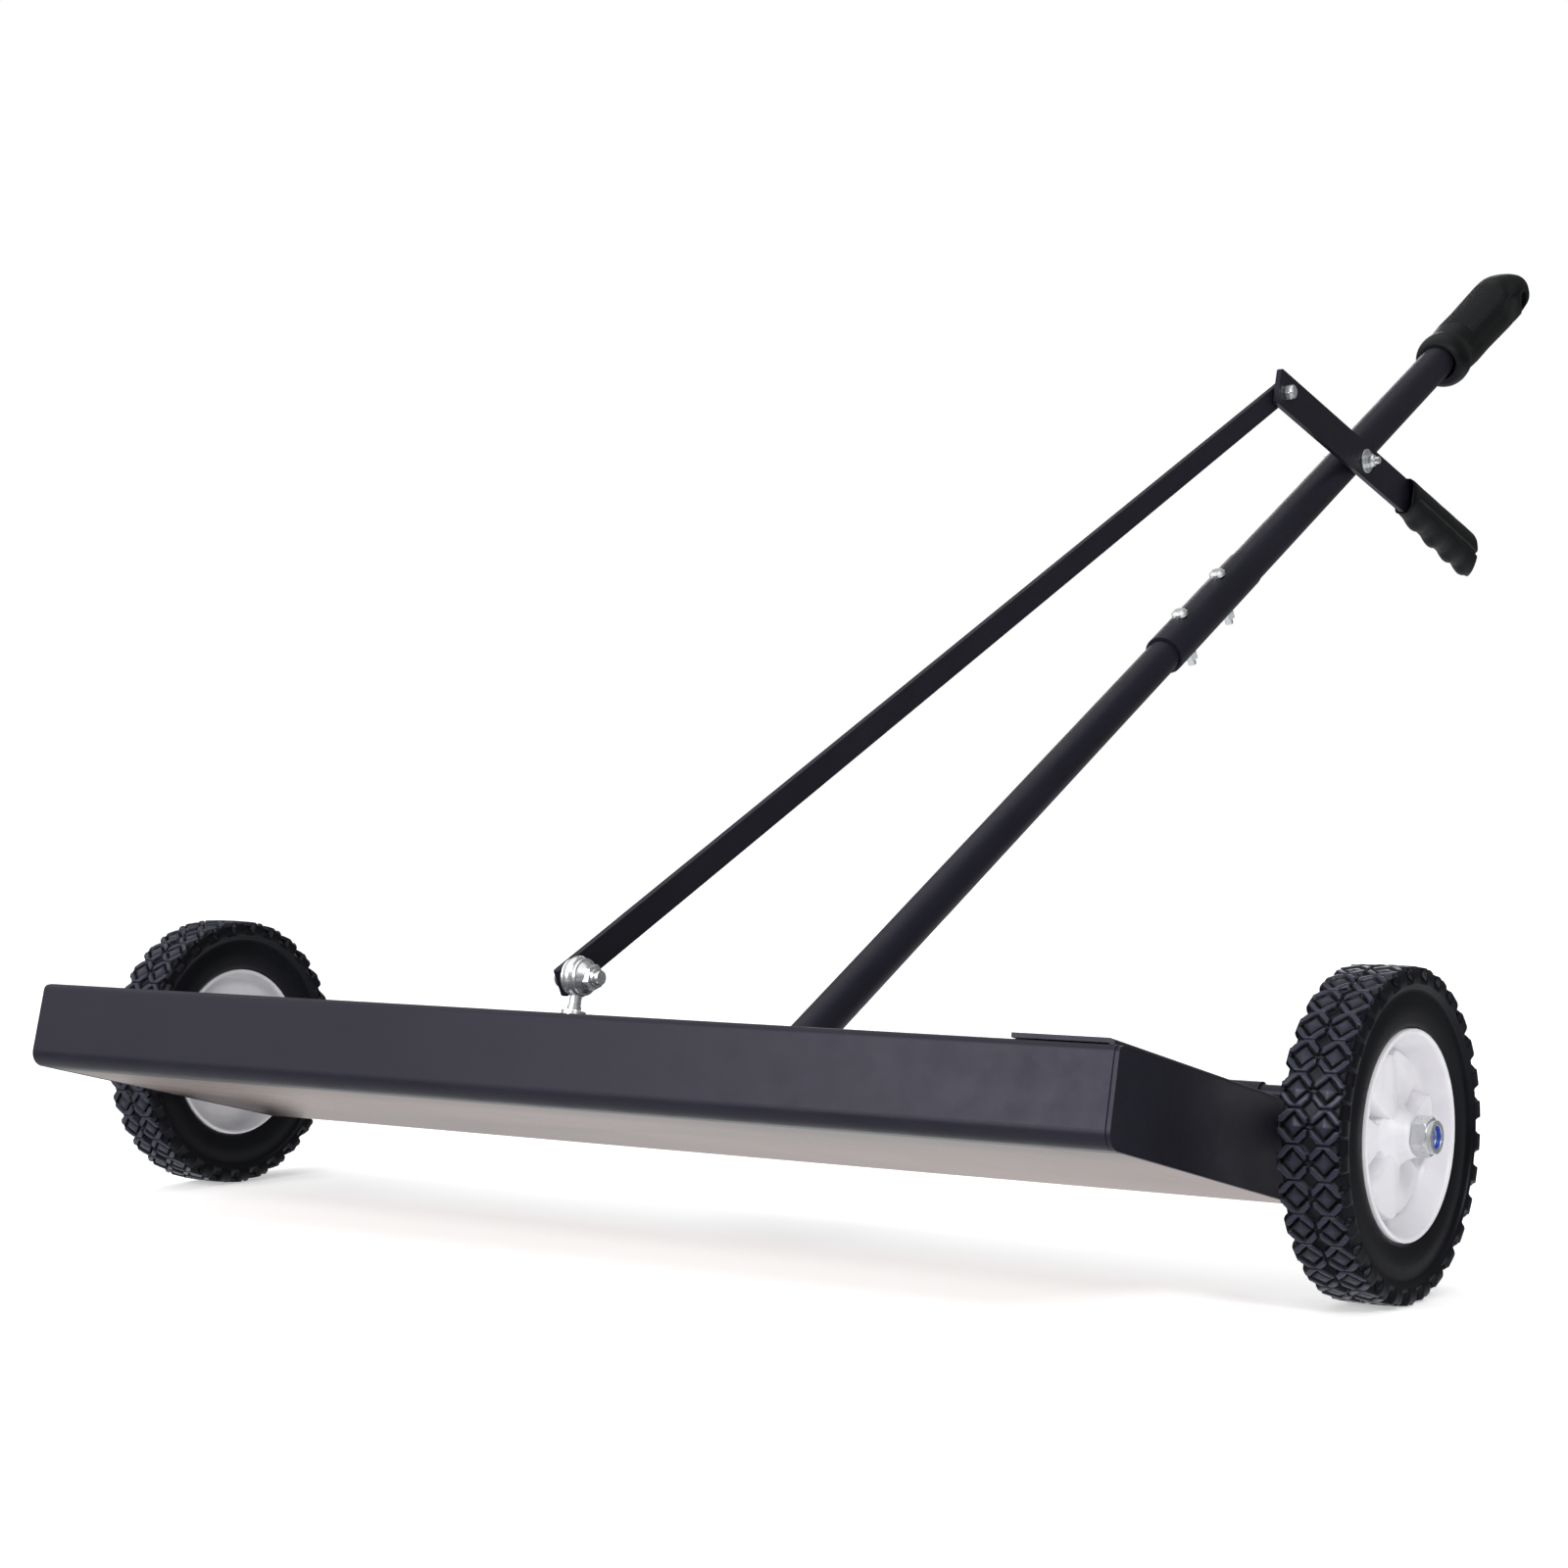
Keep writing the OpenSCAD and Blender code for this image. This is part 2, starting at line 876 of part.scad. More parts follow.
module lift_eye_bolt() {
    color(zinc)
        in_stance()
            translate([eye_x, eye_y, 0]) {
                translate([0, 0, magnet_floor + 4])
                    cylinder(h = shank_top - magnet_floor - 4, r = m8_r);
                translate([0, 0, shank_top - 1])
                    cylinder(h = eye_z - eye_ring_r - shank_top + 1, r = neck_r);
                translate([0, 0, eye_z])
                    rotate([0, 90, 0])
                        rotate_extrude()
                            translate([eye_ring_r, 0])
                                circle(eye_wire_r);
            }
}

module eye_bolt_nuts() {
    color(zinc)
        in_stance()
            translate([eye_x, eye_y, 0])
                difference() {
                    union() {
                        translate([0, 0, bar_top + 0.05])
                            cylinder(h = 5, d = 13 / cos(30), $fn = 6);
                        translate([0, 0, magnet_floor + magnet_height - 6.05])
                            cylinder(h = 6, d = 13 / cos(30), $fn = 6);
                    }
                    cylinder(h = 40, r = m8_r);
                }
}

// Flanged bush that guides the eye bolt through the housing top
module guide_bush() {
    color(zinc)
        in_stance()
            translate([eye_x, eye_y, 0])
                difference() {
                    union() {
                        translate([0, 0, housing_height])
                            cylinder(h = 3, r = 10);
                        translate([0, 0, housing_height + 3])
                            cylinder(h = 4.5, r = 7);
                        translate([0, 0, housing_height - sheet])
                            cylinder(h = 3, r = 5.98);
                    }
                    cylinder(h = 100, r = m8_r + pin_play);
                }
}

module rod_foot_bolt() {
    color(zinc)
        in_stance()
            translate([0, eye_y, eye_z]) {
                x_cyl(rod_foot_x - 5.6, rod_foot_x - 2.9, 6.5);
                x_cyl(rod_foot_x - 3, eye_x + eye_wire_r + 13, m8_r);
            }
}

module rod_foot_washers() {
    color(zinc)
        in_stance()
            translate([0, eye_y, eye_z]) {
                x_ring(eye_x - eye_wire_r - 1.5, eye_x - eye_wire_r - 0.05,
                    10.6, m8_r + 0.02);
                x_ring(eye_x + eye_wire_r + 0.05, eye_x + eye_wire_r + 1.8,
                    10.6, m8_r + 0.02);
            }
}

// Hexagon nut with a conical flange
module rod_foot_nut() {
    x0 = eye_x + eye_wire_r + 1.85;
    color(zinc)
        in_stance()
            translate([0, eye_y, eye_z])
                difference() {
                    union() {
                        translate([x0, 0, 0])
                            rotate([0, 90, 0])
                                cylinder(h = 3.4, r1 = 9.4, r2 = 7);
                        x_hex(x0 + 1, x0 + 7, 13);
                        x_cyl(x0 + 6, x0 + 8.2, 5.2);
                    }
                    x_cyl(x0 - 1, x0 + 9, m8_r + 0.02);
                }
}

housing_shell();
left_end_plate();
right_end_plate();
collector_plate();
plate_rivets();
left_end_strap();
right_end_strap();
cross_bar();
handle_bracket();
bracket_screws();
bracket_bolts();
bracket_nuts();
lower_handle_tube();
upper_handle_tube();
splice_bolts();
splice_nuts();
main_grip();
guide_bush();
axle_rod();
left_wheel_spacer();
right_wheel_spacer();
left_lock_nut();
right_lock_nut();
left_nylon_ring();
right_nylon_ring();
lever_pivot_bolt();
lever_pivot_washers();
lever_pivot_nut();
release_lever();
lever_grip();
rod_top_bolt();
rod_top_nut();
connecting_rod();
magnet_backing_bar();
magnet_blocks();
lift_eye_bolt();
eye_bolt_nuts();
rod_foot_bolt();
rod_foot_washers();
rod_foot_nut();
left_tyre();
left_hub();
right_tyre();
right_hub();
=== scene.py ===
"""Looks of the magnetic nail sweeper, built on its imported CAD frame."""

import json
import math

import bpy
import numpy as np
from mathutils import Matrix, Vector


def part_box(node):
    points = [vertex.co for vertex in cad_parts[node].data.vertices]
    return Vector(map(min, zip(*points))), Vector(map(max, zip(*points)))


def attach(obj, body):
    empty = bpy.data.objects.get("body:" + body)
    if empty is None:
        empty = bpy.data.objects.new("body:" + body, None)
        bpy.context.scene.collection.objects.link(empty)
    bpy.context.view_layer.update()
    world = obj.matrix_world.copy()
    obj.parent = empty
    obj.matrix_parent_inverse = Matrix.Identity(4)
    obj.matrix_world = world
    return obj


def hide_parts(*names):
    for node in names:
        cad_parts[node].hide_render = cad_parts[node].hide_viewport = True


MM = 0.001

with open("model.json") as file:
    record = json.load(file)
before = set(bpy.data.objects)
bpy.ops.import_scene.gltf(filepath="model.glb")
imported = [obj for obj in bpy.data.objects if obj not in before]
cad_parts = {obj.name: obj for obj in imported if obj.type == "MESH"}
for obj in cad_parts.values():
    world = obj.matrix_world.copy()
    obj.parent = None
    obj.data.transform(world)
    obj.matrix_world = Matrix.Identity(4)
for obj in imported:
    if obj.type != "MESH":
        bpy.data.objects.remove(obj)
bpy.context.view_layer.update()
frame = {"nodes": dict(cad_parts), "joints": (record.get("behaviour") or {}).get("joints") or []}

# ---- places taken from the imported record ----

joints = {j["name"]: j for j in frame["joints"]}
slide_axis = joints["magnet_lift_slide"]["axis"]
LEAN = math.atan2(slide_axis[1], slide_axis[2])
AXLE = Vector(joints["right_wheel_axle"]["pos_m"])
PIVOT = Vector(joints["release_lever_pivot"]["pos_m"])

# The part's own measures, in millimetres and degrees
HANDLE_ANGLE = 42.3  # of the handle over the housing's top
LEVER_ANGLE = -2.8  # of the lever, over the same plane
PIVOT_S = 929.0  # along the handle to the lever's pivot
GRIP_START = 1143.0  # along the handle to the main grip
WHEEL_X = 428.0
TYRE_R = 88.9
LEVER_MID_X = 18.0


def turned_frame(origin, degrees):
    """Matrix from millimetres in a frame turned about X to the row frame."""
    return (
        Matrix.Translation(origin)
        @ Matrix.Rotation(math.radians(degrees), 4, "X")
        @ Matrix.Scale(MM, 4)
    )


LEAN_DEG = math.degrees(LEAN)
HANDLE_TILT = HANDLE_ANGLE - 90 - LEAN_DEG
along_handle = Matrix.Rotation(math.radians(HANDLE_TILT), 3, "X") @ Vector((0, 0, 1))
HANDLE = turned_frame(PIVOT - along_handle * PIVOT_S * MM, HANDLE_TILT)
LEVER = turned_frame(PIVOT, LEVER_ANGLE - LEAN_DEG)

# ---- shader helpers ----


def map_range(tree, value, a, b, c, d):
    """Maps a value from the range a..b to c..d, clamped at both ends."""
    node = tree.nodes.new("ShaderNodeMapRange")
    for key, number in zip(
        ("From Min", "From Max", "To Min", "To Max"), (a, b, c, d), strict=True
    ):
        node.inputs[key].default_value = number
    tree.links.new(value, node.inputs["Value"])
    return node.outputs["Result"]


class Shader:
    """A material with one Principled shader and short calls for its nodes."""

    def __init__(self, name, **sockets):
        self.material = bpy.data.materials.new(name)
        self.material.use_nodes = True
        self.tree = self.material.node_tree
        self.bsdf = self.tree.nodes["Principled BSDF"]
        for key, value in sockets.items():
            self.bsdf.inputs[key.replace("_", " ")].default_value = value
        coords = self.tree.nodes.new("ShaderNodeTexCoord")
        self.object_coords = coords.outputs["Object"]

    def link(self, output, socket):
        self.tree.links.new(output, socket)

    def scaled(self, x, y, z, tilt=0.0):
        node = self.tree.nodes.new("ShaderNodeMapping")
        node.vector_type = "POINT"
        node.inputs["Rotation"].default_value = (tilt, 0, 0)
        node.inputs["Scale"].default_value = (x, y, z)
        self.link(self.object_coords, node.inputs["Vector"])
        return node.outputs["Vector"]

    def axis(self, letter):
        node = self.tree.nodes.new("ShaderNodeSeparateXYZ")
        self.link(self.object_coords, node.inputs[0])
        return node.outputs[letter]

    def axle_distance(self):
        """Distance from the wheels' axle, in metres."""
        square = 0
        for letter, centre in (("Y", AXLE.y), ("Z", AXLE.z)):
            side = self.math("SUBTRACT", self.axis(letter), centre)
            square = self.math("ADD", self.math("MULTIPLY", side, side), square)
        return self.math("POWER", square, 0.5)

    def noise(self, scale, detail=2.0, rough=0.5, vector=None, distortion=0.0):
        node = self.tree.nodes.new("ShaderNodeTexNoise")
        node.inputs["Scale"].default_value = scale
        node.inputs["Detail"].default_value = detail
        node.inputs["Roughness"].default_value = rough
        node.inputs["Distortion"].default_value = distortion
        self.link(vector or self.object_coords, node.inputs["Vector"])
        return node.outputs["Fac"]

    def cells(self, scale, vector=None):
        node = self.tree.nodes.new("ShaderNodeTexVoronoi")
        node.inputs["Scale"].default_value = scale
        self.link(vector or self.object_coords, node.inputs["Vector"])
        return node.outputs["Distance"]

    def edges(self, low, high):
        """0 on flat faces, rising to 1 on outside edges."""
        geometry = self.tree.nodes.new("ShaderNodeNewGeometry")
        return self.span(geometry.outputs["Pointiness"], low, high, 0.0, 1.0)

    def span(self, value, a, b, c, d):
        return map_range(self.tree, value, a, b, c, d)

    def math(self, operation, a, b):
        node = self.tree.nodes.new("ShaderNodeMath")
        node.operation = operation
        for socket, value in zip(node.inputs, (a, b), strict=False):
            if isinstance(value, (int, float)):
                socket.default_value = value
            else:
                self.link(value, socket)
        return node.outputs[0]

    def mix(self, factor, a, b):
        """Colour a at factor 0, colour b at factor 1."""
        node = self.tree.nodes.new("ShaderNodeMix")
        node.data_type = "RGBA"
        self.link(factor, node.inputs["Factor"])
        color_a, color_b, color_result = 6, 7, 2  # the node's RGBA sockets
        for index, value in ((color_a, a), (color_b, b)):
            socket = node.inputs[index]
            if isinstance(value, tuple):
                socket.default_value = (*value, 1.0)
            else:
                self.link(value, socket)
        return node.outputs[color_result]

    def bump(self, layers):
        """Chains bump maps, each (height, strength, distance in mm)."""
        normal = None
        for height, strength, distance in layers:
            node = self.tree.nodes.new("ShaderNodeBump")
            node.inputs["Strength"].default_value = strength
            node.inputs["Distance"].default_value = distance * MM
            self.link(height, node.inputs["Height"])
            if normal is not None:
                self.link(normal, node.inputs["Normal"])
            normal = node.outputs["Normal"]
        self.link(normal, self.bsdf.inputs["Normal"])

    def finish(self, color, roughness):
        self.link(color, self.bsdf.inputs["Base Color"])
        self.link(roughness, self.bsdf.inputs["Roughness"])
        return self.material


# Bands of painted shade along the collector plate's front edge, and the depth of the tread's
# rubbed faces, which also carry a painted highlight
FRONT_SHADE_WIDTH = 50.0
SEAM_SHADOW_EDGE = (8.0, 11.0)
WEAR_AND_HIGHLIGHT_DEPTH = (0.95, 0.45)


def powder_coat(name, dark, light):
    s = Shader(name, Specular_IOR_Level=0.24, Specular_Tint=(0.86, 0.84, 1.0, 1.0))
    mottle = s.noise(9.0, 3.0, 0.6)
    grain = s.noise(1300.0, 2.0, 0.6)
    peel = s.noise(420.0, 1.0, 0.4)
    color = s.mix(s.span(mottle, 0.3, 0.7, 0.0, 1.0), dark, light)
    dust = s.span(s.noise(170.0, 4.0, 0.7), 0.60, 0.80, 0.0, 0.12)
    color = s.mix(dust, color, tuple(2.6 * c for c in light))
    rough = s.math(
        "ADD",
        s.span(mottle, 0.3, 0.7, 0.37, 0.45),
        s.span(s.noise(55.0, 4.0, 0.65), 0.35, 0.7, -0.03, 0.05),
    )
    s.bump([(peel, 0.12, 0.12), (grain, 0.10, 0.03)])
    return s.finish(color, rough)


def brushed_steel(name):
    s = Shader(name, Metallic=1.0, Anisotropic=0.45)
    streaks = s.noise(1.0, 5.0, 0.7, s.scaled(9.0, 900.0, 900.0, LEAN))
    broad = s.noise(5.0, 3.0, 0.55)
    color = s.mix(
        s.span(broad, 0.3, 0.7, 0.0, 1.0), (0.45, 0.350, 0.315), (0.57, 0.455, 0.415)
    )
    color = s.mix(s.span(streaks, 0.35, 0.7, 0.0, 0.25), color, (0.66, 0.56, 0.52))
    scratch = s.noise(1.0, 2.0, 0.5, s.scaled(160.0, 12.0, 12.0, 0.3))
    rough = s.math(
        "ADD",
        s.span(streaks, 0.3, 0.75, 0.24, 0.36),
        s.span(scratch, 0.62, 0.75, 0.0, 0.10),
    )
    # Painted shade darkening the plate towards its front edge, under the housing's lip, and a
    # painted shadow line in the seam behind the lip
    edge_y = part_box("collector_plate")[0][1]
    front_shade = s.span(s.axis("Y"), edge_y, edge_y + FRONT_SHADE_WIDTH * MM, 0.55, 0.0)
    color = s.mix(front_shade, color, (0.14, 0.124, 0.12))
    # A near-black band behind the lip, painted as the seam's shadow
    seam_shadow_from, seam_shadow_to = (edge_y + width * MM for width in SEAM_SHADOW_EDGE)
    seam_shadow = s.span(s.axis("Y"), seam_shadow_from, seam_shadow_to, 0.95, 0.0)
    color = s.mix(seam_shadow, color, (0.006, 0.006, 0.007))
    s.bump([(streaks, 0.12, 0.05)])
    return s.finish(color, rough)


def zinc_plate(name):
    s = Shader(name, Metallic=0.88)
    cloud = s.noise(90.0, 3.0, 0.6)
    fine = s.noise(420.0, 2.0, 0.5)
    color = s.mix(
        s.span(cloud, 0.3, 0.7, 0.0, 1.0), (0.70, 0.72, 0.74), (0.82, 0.83, 0.82)
    )
    color = s.mix(s.span(fine, 0.62, 0.80, 0.0, 0.3), color, (0.50, 0.51, 0.51))
    rough = s.span(cloud, 0.3, 0.7, 0.22, 0.30)
    s.bump([(fine, 0.04, 0.01)])
    return s.finish(color, rough)


def rubber(
    name, dark, light, rough_low, rough_high, grain_scale, grain_depth, wear_and_highlight=None
):
    s = Shader(name, Specular_IOR_Level=0.20, Specular_Tint=(0.88, 0.90, 1.0, 1.0))
    cloud = s.noise(38.0, 4.0, 0.6)
    grain = s.noise(grain_scale, 3.0, 0.65)
    pits = s.cells(grain_scale * 0.55)
    color = s.mix(s.span(cloud, 0.3, 0.72, 0.0, 1.0), dark, light)
    color = s.mix(s.edges(0.54, 0.66), color, tuple(1.5 * c for c in light))
    rough = s.math(
        "ADD",
        s.span(cloud, 0.3, 0.7, rough_low, rough_high),
        s.span(grain, 0.3, 0.7, -0.03, 0.04),
    )
    if wear_and_highlight:
        # The tread's outermost faces are rubbed smooth by the ground; their colour is also
        # lifted to a lighter blue, a painted highlight
        worn_and_highlighted = s.span(s.axle_distance(), *wear_and_highlight, 0.0, 1.0)
        color = s.mix(worn_and_highlighted, color, (0.020, 0.021, 0.034))
        rough = s.math("SUBTRACT", rough, s.span(worn_and_highlighted, 0.0, 1.0, 0.0, 0.10))
    s.bump([(pits, 0.10, grain_depth), (grain, 0.12, grain_depth)])
    return s.finish(color, rough)


def white_plastic(name):
    s = Shader(
        name,
        Subsurface_Weight=0.06,
        Subsurface_Scale=0.002,
        Specular_IOR_Level=0.5,
    )
    flow = s.noise(28.0, 3.0, 0.5, None, 1.2)
    specks = s.noise(900.0, 1.0, 0.5)
    color = s.mix(
        s.span(flow, 0.3, 0.7, 0.0, 1.0), (0.70, 0.69, 0.72), (0.78, 0.77, 0.80)
    )
    color = s.mix(s.span(specks, 0.72, 0.78, 0.0, 0.35), color, (0.35, 0.34, 0.33))
    rough = s.span(flow, 0.3, 0.7, 0.30, 0.40)
    s.bump([(s.noise(260.0, 2.0, 0.5), 0.10, 0.12)])
    return s.finish(color, rough)


def nylon(name):
    s = Shader(name, Subsurface_Weight=0.05, Subsurface_Scale=0.002)
    cloud = s.noise(300.0, 3.0, 0.6)
    color = s.mix(
        s.span(cloud, 0.3, 0.7, 0.0, 1.0), (0.012, 0.050, 0.42), (0.025, 0.095, 0.60)
    )
    s.bump([(cloud, 0.2, 0.1)])
    return s.finish(color, s.span(cloud, 0.3, 0.7, 0.25, 0.38))


def sintered(name):
    s = Shader(name, Specular_IOR_Level=0.4)
    cloud = s.noise(60.0, 4.0, 0.6)
    grain = s.noise(1500.0, 3.0, 0.7)
    color = s.mix(
        s.span(cloud, 0.3, 0.7, 0.0, 1.0), (0.035, 0.036, 0.039), (0.060, 0.060, 0.064)
    )
    s.bump([(grain, 0.35, 0.1)])
    return s.finish(color, s.span(cloud, 0.3, 0.7, 0.48, 0.62))


MATERIALS = (
    ("black_powder_coat", powder_coat, {
        "dark": (0.0072, 0.0068, 0.0120), "light": (0.0100, 0.0094, 0.0160),
    }),
    ("stainless_steel", brushed_steel, {}),
    ("zinc_plate", zinc_plate, {}),
    ("grip_rubber", rubber, {
        "dark": (0.0022, 0.0025, 0.0024), "light": (0.0042, 0.0046, 0.0044),
        "rough_low": 0.40, "rough_high": 0.50,
        "grain_scale": 500.0, "grain_depth": 0.015,
    }),
    ("tyre_rubber", rubber, {
        "dark": (0.0022, 0.0023, 0.0036), "light": (0.0044, 0.0045, 0.0070),
        "rough_low": 0.34, "rough_high": 0.44,
        "grain_scale": 420.0, "grain_depth": 0.05,
        # Radii of the tread's outer band: rubbed smoother, and lighter blue as a painted
        # highlight
        "wear_and_highlight": [(TYRE_R - depth) * MM for depth in WEAR_AND_HIGHLIGHT_DEPTH],
    }),
    ("white_plastic", white_plastic, {}),
    ("blue_nylon", nylon, {}),
    ("ferrite", sintered, {}),
)
BY_SLOT = {slot: make(slot, **settings) for slot, make, settings in MATERIALS}

# ---- mesh helpers ----


def smooth_step(value, low, high):
    t = np.clip((value - low) / (high - low), 0.0, 1.0)
    return t * t * (3 - 2 * t)


def plateau(value, rise, fall):
    """0, up to 1 over the rise (low, high), and back to 0 over the fall."""
    return smooth_step(value, *rise) * (1 - smooth_step(value, *fall))


def follow(value, points):
    """Straight lines through points of (value, result)."""
    given, result = zip(*points, strict=True)
    return np.interp(value, given, result)


def link_object(name, data):
    """A new object in the scene, holding the mesh, light or camera data."""
    piece = bpy.data.objects.new(name, data)
    bpy.context.scene.collection.objects.link(piece)
    return piece


def make_object(name, points, faces, matrix, slot, body, replaced):
    """A smooth piece in place of CAD nodes; it rides on a CAD body."""
    mesh = bpy.data.meshes.new(name)
    mesh.from_pydata([tuple(p) for p in points], [], faces)
    mesh.transform(matrix)
    mesh.validate()
    mesh.polygons.foreach_set("use_smooth", [True] * len(mesh.polygons))
    mesh.materials.append(BY_SLOT[slot])
    mesh.update()
    piece = link_object(name, mesh)
    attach(piece, body)
    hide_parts(*replaced)
    return piece


def torus_grid(columns):
    """Points and faces of a closed grid, columns[angle][k] = (x, radius)."""
    count, length = columns.shape[0], columns.shape[1]
    angle = np.arange(count) * 2 * math.pi / count
    x = columns[:, :, 0]
    y = columns[:, :, 1] * np.cos(angle)[:, None]
    z = columns[:, :, 1] * np.sin(angle)[:, None]
    points = np.stack([x, y, z], axis=2).reshape(-1, 3)
    faces = []
    for i in range(count):
        a, b = i * length, (i + 1) % count * length
        for k in range(length):
            n = (k + 1) % length
            faces.append((a + k, b + k, b + n, a + n))
    return points, faces


def ring_skin(rings):
    """Points and faces over a row of rings, closed by a fan at both ends."""
    rings = np.asarray(rings, float)
    rows, count = rings.shape[0], rings.shape[1]
    points = list(rings.reshape(-1, 3))
    points.append(rings[0].mean(axis=0))
    points.append(rings[-1].mean(axis=0))
    first, last = len(points) - 2, len(points) - 1
    faces = []
    for i in range(count):
        n = (i + 1) % count
        faces.append((first, n, i))
        for r in range(rows - 1):
            a, b = r * count, (r + 1) * count
            faces.append((a + i, a + n, b + n, b + i))
        a = (rows - 1) * count
        faces.append((a + i, a + n, last))
    return points, faces


# ---- tyres ----

CELLS = 30
CELL_STEPS = 30
ROW_HALF = 8.6
GROOVE_DEPTH = 3.0
SLOT_DEPTH = 3.2
CROWN_X = 16.8
CROWN_DROP = 0.4
CROWN_COLUMNS = 25
# Each cell is a low diamond inside a raised ring, measured as |u| + |v|
DIAMOND_REACH = 6.1
DIAMOND_LOW, DIAMOND_RISE = 0.72, 0.22
RING_REACH = (7.6, 12.6)
RING_ENDS = (8.6, 9.1)
GAP_U, GAP_V = (1.1, 1.7), (6.2, 6.9)
LUG_SLOPE = 0.26
MIDDLE_GROOVE = (0.35, 0.95)
SHOULDER_X = (16.9, 17.5)
SHOULDER_SLOT = (4.6, 5.5)
# Half outline of a tyre in points (x, radius): the bead and sidewall, and the shoulder
WALL = (
    (13.0, 56.05), (14.4, 56.3), (15.3, 57.2), (15.8, 58.6), (16.1, 60.5),
    (16.4, 62.5), (16.65, 64.7), (16.75, 67.0), (16.65, 69.0), (16.4, 71.0),
    (16.1, 73.0), (15.95, 74.8), (16.0, 76.3), (16.4, 77.4), (17.3, 78.1),
    (18.2, 78.6),
)
SHOULDER = (
    (18.5, 79.6), (18.75, 80.7), (18.9, 81.9), (18.95, 83.0), (18.85, 84.1),
    (18.65, 85.2), (18.35, 86.2), (17.9, 87.1), (17.35, 87.8),
)


def tyre_profile():
    """Half outline from the bead to the middle: (x, radius, groove depth)."""
    rows = [(x, r, 0.0) for x, r in WALL]
    for i, (x, r) in enumerate(SHOULDER):
        rows.append((x, r, SLOT_DEPTH * smooth_step(i + 1.5, 1.0, 6.0)))
    for x in np.linspace(CROWN_X, 0.0, CROWN_COLUMNS):
        r = TYRE_R - CROWN_DROP * (x / 17.0) ** 2 - 0.02
        rows.append((x, r, GROOVE_DEPTH))
    return rows


def tread_height(u, v):
    """1 on a lug, 0 in a groove; u along the tread, v across one row."""
    au, av = np.abs(u), np.abs(v)
    reach = au + av

    def past(edge):
        return smooth_step(reach, edge - LUG_SLOPE, edge + LUG_SLOPE)

    inner, outer = RING_REACH
    diamond = 1 - past(DIAMOND_REACH)
    peak = DIAMOND_LOW + DIAMOND_RISE * (1 - np.clip(reach / DIAMOND_REACH, 0, 1))
    ring = past(inner) * (1 - past(outer)) * (1 - smooth_step(au, *RING_ENDS))
    side_gap = (1 - smooth_step(au, *GAP_U)) * smooth_step(av, *GAP_V)
    return np.maximum(diamond * peak, ring * (1 - side_gap))


def tyre_columns():
    """The whole outline at each step round the tyre, with the tread cut in."""
    half = tyre_profile()
    left = [(-x, r, d) for x, r, d in reversed(half[:-1])]
    profile = np.array(half + left)
    x, r, depth = profile[:, 0], profile[:, 1], profile[:, 2]
    dx, dr = np.gradient(x), np.gradient(r)
    size = np.hypot(dx, dr)
    out_x, out_r = dr / size, -dx / size
    steps = CELLS * CELL_STEPS
    pitch = 2 * math.pi * TYRE_R / CELLS
    phase = (np.arange(steps) % CELL_STEPS) / CELL_STEPS - 0.5
    u = (phase * pitch)[:, None]
    v = np.clip(np.abs(x), 0, 2 * ROW_HALF)[None, :] - ROW_HALF
    middle = smooth_step(np.abs(x), *MIDDLE_GROOVE)[None, :]
    height = tread_height(u, v) * middle
    # On the shoulder only the slots between the lugs run down
    slots = 1 - smooth_step(np.abs(u), *SHOULDER_SLOT)
    on_shoulder = smooth_step(np.abs(x), *SHOULDER_X)[None, :]
    height = height * (1 - on_shoulder) + slots * on_shoulder
    drop = depth[None, :] * (1 - height)
    return np.stack(
        [x[None, :] - out_x[None, :] * drop, r[None, :] - out_r[None, :] * drop], axis=2
    )


# ---- hubs ----

HUB_STEPS = 300
PETALS = 6
PETAL_TURN = math.radians(14)
PETAL_END = 45.5
PETAL_CORNER = 9.0
PETAL_EDGE = (-0.5, 1.3)
PETAL_CROWN = 1.6
# Petal tops, high and low by turns: (x at radius 14, fall per millimetre)
HIGH_TOP, LOW_TOP, TOP_FROM = (10.6, 0.055), (5.4, 0.04), 14
SPOKE_HALF = 1.7
WEB_END = 44
BOSS_R = 13
BOSS_FILLET_R = 19
BACK_BOSS_R = 12.6
FRONT_RADII = np.concatenate(
    [[6.1, 6.4, 8.5, 9.6, 10.2, 11.0, 12.0], np.arange(13.0, 53.0, 0.75),
     [52.8, 53.2, 53.5, 53.8, 54.3, 55.2, 55.7, 56.0]]
)
BACK_RADII = np.concatenate(
    [[55.2, 54.0, 53.2, 53.0, 52.6], np.arange(52.0, 13.5, -1.0),
     [13.1, 12.9, 12.5, 8.0, 6.4, 6.1]]
)
# Sections through a hub, each in points (radius, x)
BOSS = (
    (6, 19.4), (6.4, 20), (9.0, 20), (10.6, 19.5), (11.6, 18.0), (13, 13.5), (16, 9.5),
    (19, 6.5), (60, 3.0),
)
RIM_WALL = (
    (44, 0.5), (46.5, 1.0), (49, 3.0), (51.5, 9.0), (52.6, 13.5), (53.2, 16.2),
    (54.2, 17.0), (55.6, 16.9), (56, 16.2),
)
WEB_FLOOR = ((13, 1.0), (20, -1.4), (44, -1.2))
BACK = (
    (12.5, -20.6), (12.9, -19.6), (13.1, -14), (16, -8), (22, -5), (44, -3.5),
    (50, -4.5), (52.6, -7), (53.2, -15), (54, -16), (56, -15.4),
)
BACK_BOSS = ((6, -20.2), (6.4, -21.0), (12.5, -20.6))
# Where the tyre sits, in points (x, radius)
RIM_SEAT = np.array(
    [(12.0, 56.0), (4.0, 56.0), (-4.0, 56.0), (-11.0, 56.0), (-15.2, 55.8)]
)


